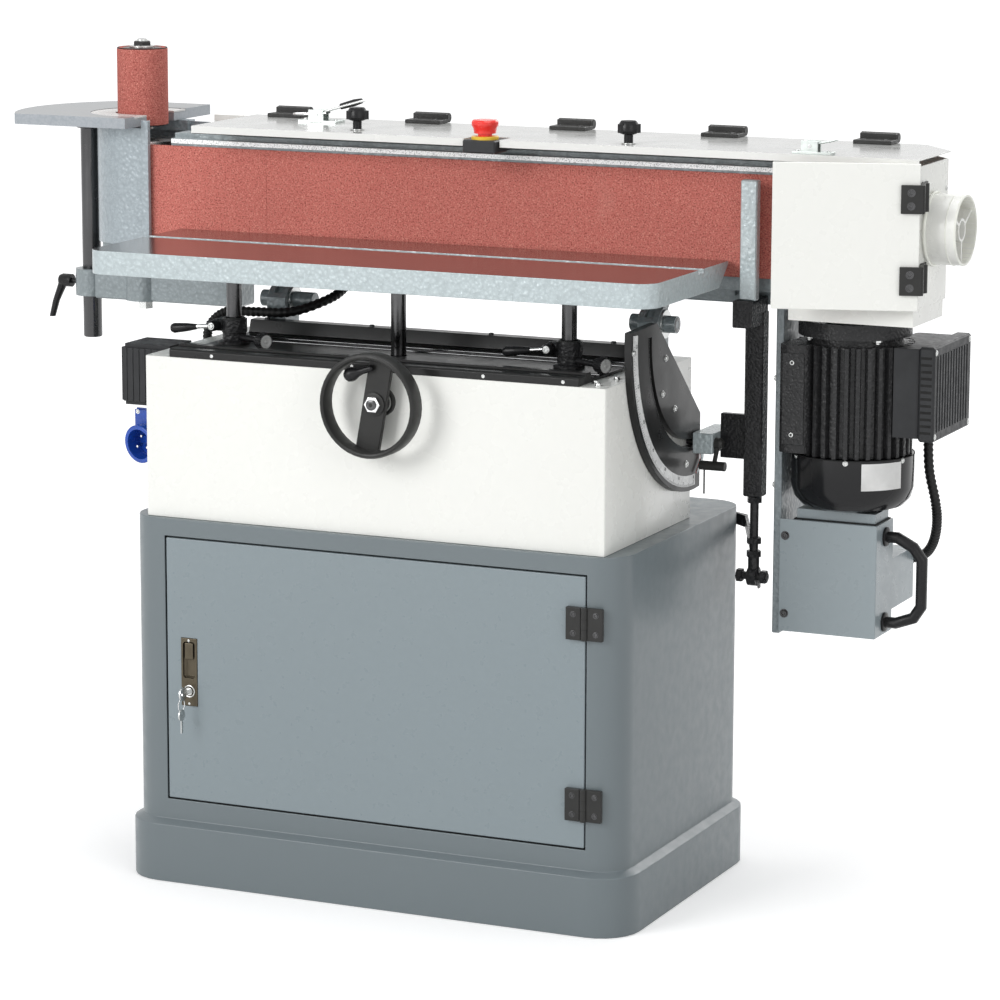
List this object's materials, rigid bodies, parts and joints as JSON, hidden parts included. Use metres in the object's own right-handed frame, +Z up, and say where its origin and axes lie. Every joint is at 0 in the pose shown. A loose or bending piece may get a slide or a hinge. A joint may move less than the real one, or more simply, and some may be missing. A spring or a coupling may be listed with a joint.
{
  "type": "oscillating edge belt sander",
  "caption": "Edge belt sander on a cabinet stand, with a lifting work table, a tilting belt head, a drum with its own round table, motor, dust port and lid.",
  "frame": {"origin": "on the floor, at the centre of the cabinet's footprint", "axes": "+X along the belt to the operator's right, towards the motor; +Y away from the operator; +Z up"},
  "size_m": [1.5769, 0.593, 1.242],
  "materials": {
    "abrasive": "red-brown abrasive cloth",
    "black_paint": "black paint",
    "black_plastic": "black, satin",
    "black_steel": "blackened steel, oiled",
    "blue_plastic": "glossy blue",
    "bronze": "dark bronze",
    "cast_iron": "ground and polished",
    "green_plastic": "glossy green",
    "grey_paint": "semi-gloss blue-grey powder coat",
    "hammertone": "light blue-grey hammertone paint",
    "red_plastic": "glossy red",
    "rubber": "black, matt",
    "white_paint": "off-white semi-gloss paint",
    "zinc": "zinc plated"
  },
  "bodies": {
    "stand": {"cabinet": "grey_paint", "console": "white_paint", "table_saddle": "black_paint", "quadrant": "black_paint", "trunnion_left": "hammertone", "trunnion_right": "hammertone", "post_clamp_left": "black_paint", "post_clamp_right": "black_paint", "door_hinge_upper": "black_plastic", "door_hinge_lower": "black_plastic", "stop_bracket": "black_paint", "switch_box": "black_plastic", "power_inlet": "blue_plastic", "cable_conduit": "rubber"},
    "door": {"cabinet_door": "grey_paint", "latch_plate": "bronze"},
    "key": {"latch_key": "zinc"},
    "table": {"work_table": "cast_iron", "post_left": "black_steel", "post_middle": "black_steel", "post_right": "black_steel"},
    "wheel": {"handwheel": "black_plastic"},
    "crank_grip": {"wheel_grip": "black_plastic"},
    "left_clamp_lever": {"clamp_lever_left": "black_plastic"},
    "right_clamp_lever": {"clamp_lever_right": "black_plastic"},
    "left_clamp_knob": {"clamp_knob_left": "black_plastic"},
    "right_clamp_knob": {"clamp_knob_right": "black_plastic"},
    "start": {"start_button": "green_plastic"},
    "stop": {"stop_button": "red_plastic"},
    "head": {"head_frame": "hammertone", "rear_guard": "white_paint", "idler_cover": "grey_paint", "drive_box": "white_paint", "mount_plate": "grey_paint", "motor_body": "black_paint", "motor_cowl": "black_paint", "terminal_box": "black_plastic", "motor_conduit": "rubber", "counterweight_box": "grey_paint", "pull_handle": "black_plastic", "tilt_arm": "black_steel", "stop_bar": "hammertone", "pointer_arm": "grey_paint", "estop_housing": "black_plastic"},
    "belt_unit": {"sanding_belt": "abrasive"},
    "idler": {"idler_roller": "zinc", "sanding_drum": "abrasive"},
    "driver": {"drive_roller": "rubber"},
    "belt_door": {"drive_door": "white_paint"},
    "belt_lid": {"lid": "white_paint"},
    "left_lid_knob": {"lid_knob_left": "black_plastic"},
    "right_lid_knob": {"lid_knob_right": "black_plastic"},
    "tension": {"tension_lever": "zinc"},
    "lid_latch": {"box_latch": "zinc"},
    "emergency": {"estop_button": "red_plastic"},
    "drum_table": {"round_table": "grey_paint", "table_insert": "white_paint", "round_post": "black_steel"},
    "drum_table_lever": {"round_lever": "black_plastic"},
    "tilt_clamp": {"tilt_lock": "black_plastic"}
  },
  "joints": [
    {"name": "cabinet_door_hinge", "type": "hinge", "parent": "stand", "child": "door", "pos_m": [0.3475, -0.2535, 0.33], "axis": [0, 0, 1], "range_deg": [0, 110]},
    {"name": "key_turn", "type": "hinge", "parent": "door", "child": "key", "pos_m": [-0.2996, -0.2475, 0.298], "axis": [0, -1, 0], "range_deg": [0, 90]},
    {"name": "table_height", "type": "slide", "parent": "stand", "child": "table", "axis": [0, 0, 1], "range_m": [-0.02, 0.11]},
    {"name": "handwheel_turn", "type": "hinge", "parent": "stand", "child": "wheel", "pos_m": [0.02, -0.277, 0.761], "axis": [0, 1, 0], "range_deg": [-192, 1051]},
    {"name": "crank_grip_fold", "type": "hinge", "parent": "wheel", "child": "crank_grip", "pos_m": [0.017, -0.2715, 0.814], "axis": [-0.3297, 0, 0.9441], "range_deg": [0, 90]},
    {"name": "left_clamp_lever_turn", "type": "hinge", "parent": "stand", "child": "left_clamp_lever", "pos_m": [-0.321, -0.1133, 0.8356], "axis": [0, 1, 0], "range_deg": [-12, 45]},
    {"name": "right_clamp_lever_turn", "type": "hinge", "parent": "stand", "child": "right_clamp_lever", "pos_m": [0.231, -0.1133, 0.8356], "axis": [0, 1, 0], "range_deg": [-12, 45]},
    {"name": "left_clamp_knob_turn", "type": "hinge", "parent": "stand", "child": "left_clamp_knob", "pos_m": [-0.2965, -0.1, 0.819], "axis": [0.8924, -0.4512, 0], "range_deg": [-180, 180]},
    {"name": "right_clamp_knob_turn", "type": "hinge", "parent": "stand", "child": "right_clamp_knob", "pos_m": [0.2555, -0.1, 0.819], "axis": [0.8924, -0.4512, 0], "range_deg": [-180, 180]},
    {"name": "start_press", "type": "slide", "parent": "stand", "child": "start", "axis": [1, 0, 0], "range_m": [0, 0.0035], "stiffness_N_per_m": 400, "springref_m": -0.002},
    {"name": "stop_press", "type": "slide", "parent": "stand", "child": "stop", "axis": [1, 0, 0], "range_m": [0, 0.0045], "stiffness_N_per_m": 400, "springref_m": -0.002},
    {"name": "head_tilt", "type": "hinge", "parent": "stand", "child": "head", "pos_m": [0, 0.075, 0.853], "axis": [-1, 0, 0], "range_deg": [0, 90], "deforming": ["cable_conduit"]},
    {"name": "tilt_clamp_turn", "type": "hinge", "parent": "head", "child": "tilt_clamp", "pos_m": [0.4178, 0.075, 0.679], "axis": [1, 0, 0], "range_deg": [-35, 35]},
    {"name": "belt_oscillation", "type": "slide", "parent": "head", "child": "belt_unit", "axis": [0, 0, 1], "range_m": [-0.003, 0.003]},
    {"name": "drive_roller_spin", "type": "hinge", "parent": "belt_unit", "child": "driver", "pos_m": [0.613, 0.135, 1.007], "axis": [0, 0, 1], "continuous": true},
    {"name": "idler_roller_spin", "type": "hinge", "parent": "belt_unit", "child": "idler", "pos_m": [-0.582, 0.135, 1.007], "axis": [0, 0, 1], "continuous": true},
    {"name": "belt_door_hinge", "type": "hinge", "parent": "head", "child": "belt_door", "pos_m": [0.7505, 0.03, 1], "axis": [0, 0, 1], "range_deg": [-17, 80]},
    {"name": "lid_hinge", "type": "hinge", "parent": "head", "child": "belt_lid", "pos_m": [0.125, 0.2265, 1.13], "axis": [-1, 0, 0], "range_deg": [0, 95]},
    {"name": "left_lid_knob_turn", "type": "hinge", "parent": "belt_lid", "child": "left_lid_knob", "pos_m": [-0.166, 0.058, 1.1228], "axis": [0, 0, 1], "range_deg": [-180, 180]},
    {"name": "right_lid_knob_turn", "type": "hinge", "parent": "belt_lid", "child": "right_lid_knob", "pos_m": [0.288, 0.04, 1.1228], "axis": [0, 0, 1], "range_deg": [-180, 180]},
    {"name": "tension_lever_turn", "type": "hinge", "parent": "belt_lid", "child": "tension", "pos_m": [-0.278, 0.15, 1.134], "axis": [0, -1, 0], "range_deg": [0, 100]},
    {"name": "lid_latch_turn", "type": "hinge", "parent": "belt_lid", "child": "lid_latch", "pos_m": [0.58, 0.021, 1.134], "axis": [0, -1, 0], "range_deg": [0, 100]},
    {"name": "emergency_press", "type": "slide", "parent": "head", "child": "emergency", "axis": [0, 0, -1], "range_m": [0, 0.0045]},
    {"name": "drum_table_height", "type": "slide", "parent": "head", "child": "drum_table", "axis": [0, 0, 1], "range_m": [0, 0.055]},
    {"name": "drum_table_lever_turn", "type": "hinge", "parent": "head", "child": "drum_table_lever", "pos_m": [-0.7193, 0.14, 0.85], "axis": [1, 0, 0], "range_deg": [-60, 60]}
  ],
  "couplings": [
    {"joint": "handwheel_turn", "follows": "table_height", "rad_per_m": 166.67},
    {"joint": "idler_roller_spin", "follows": "drive_roller_spin", "ratio": 1}
  ]
}
